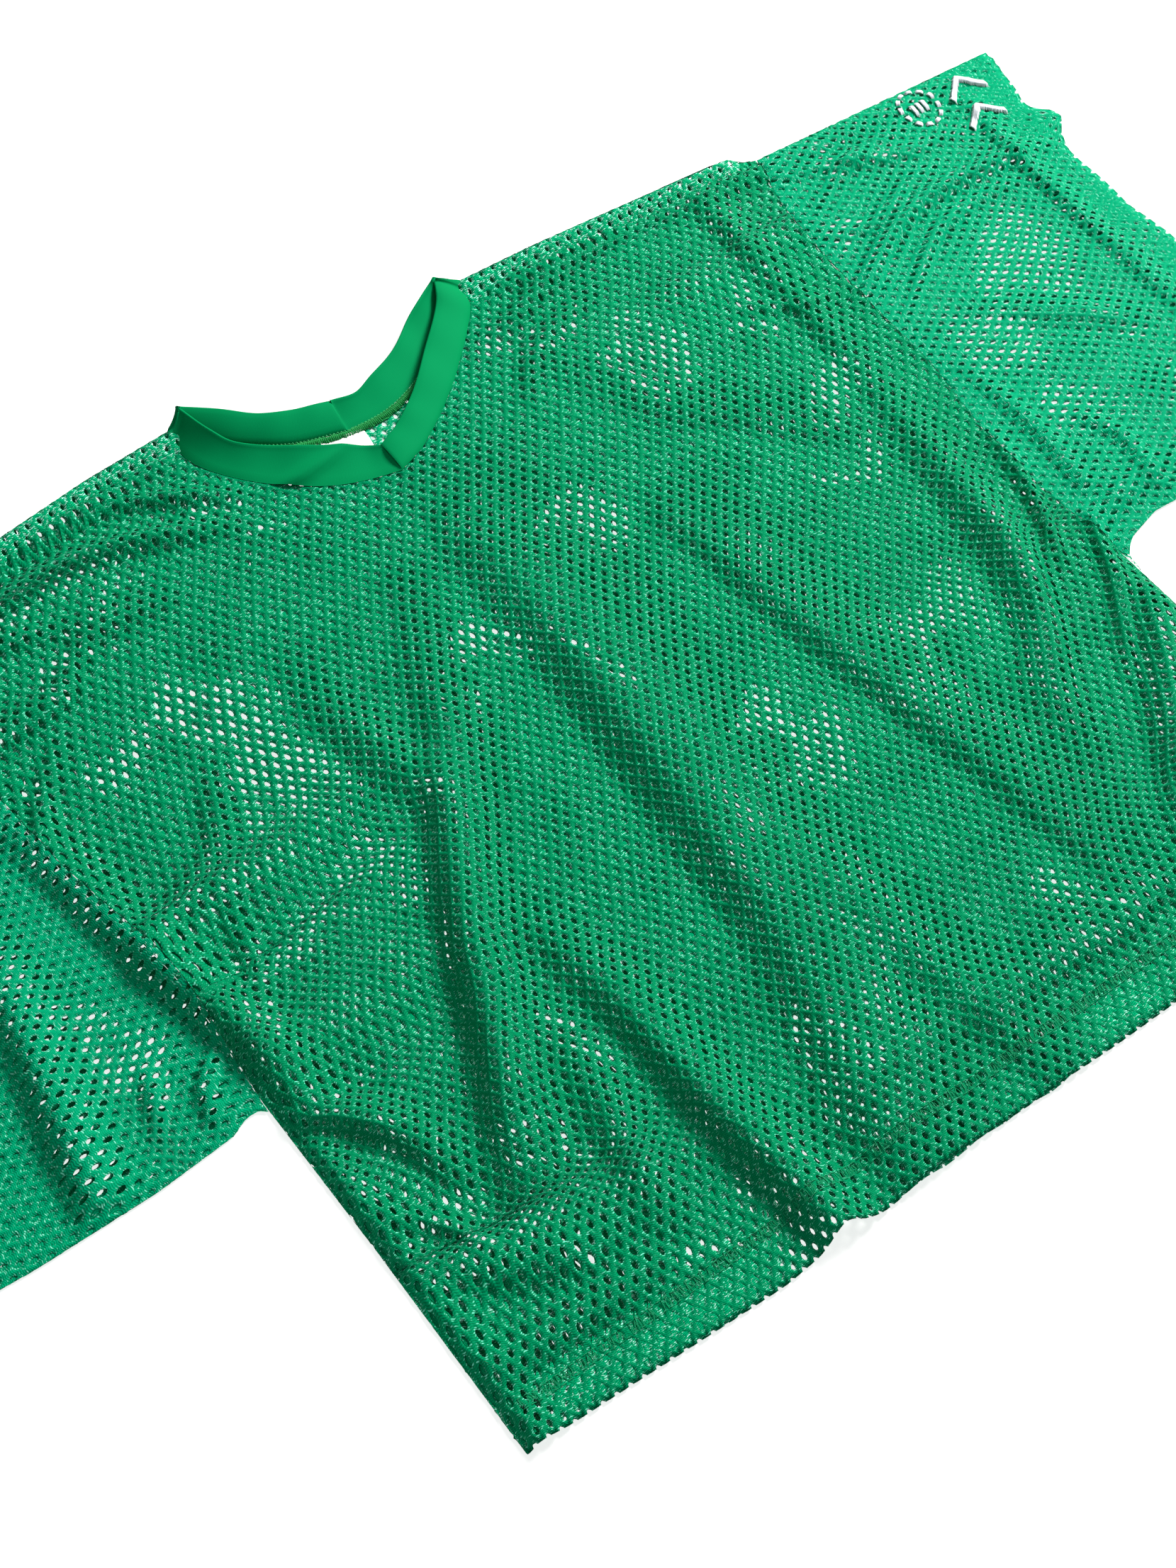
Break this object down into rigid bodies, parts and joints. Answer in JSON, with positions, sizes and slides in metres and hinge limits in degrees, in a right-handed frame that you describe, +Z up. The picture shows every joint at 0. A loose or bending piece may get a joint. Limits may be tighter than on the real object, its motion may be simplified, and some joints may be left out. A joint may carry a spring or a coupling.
{
  "type": "cropped mesh jersey",
  "caption": "Cropped porthole-mesh jersey with a standing V-neck band and wide elbow-length sleeves, laid flat on its back with soft folds.",
  "frame": {"origin": "on the surface that the jersey lies on, at the middle of the jersey's footprint", "axes": "+X towards the wearer's left sleeve, +Y from the hem towards the neck, +Z up from the surface"},
  "size_m": [1.004, 0.6182, 0.022],
  "materials": {
    "body_mesh": "warp-knitted polyester porthole mesh with a soft sheen",
    "sleeve_mesh": "the same mesh with its wales along the sleeve, lighter to look at",
    "neck_rib": "matt plain knit, doubled",
    "label": "plain white woven satin"
  },
  "bodies": {
    "root": {"front_panel": "body_mesh", "back_panel": "body_mesh", "sleeve_left": "sleeve_mesh", "sleeve_right": "sleeve_mesh", "collar_left": "neck_rib", "collar_right": "neck_rib", "neck_label": "label"}
  },
  "joints": []
}
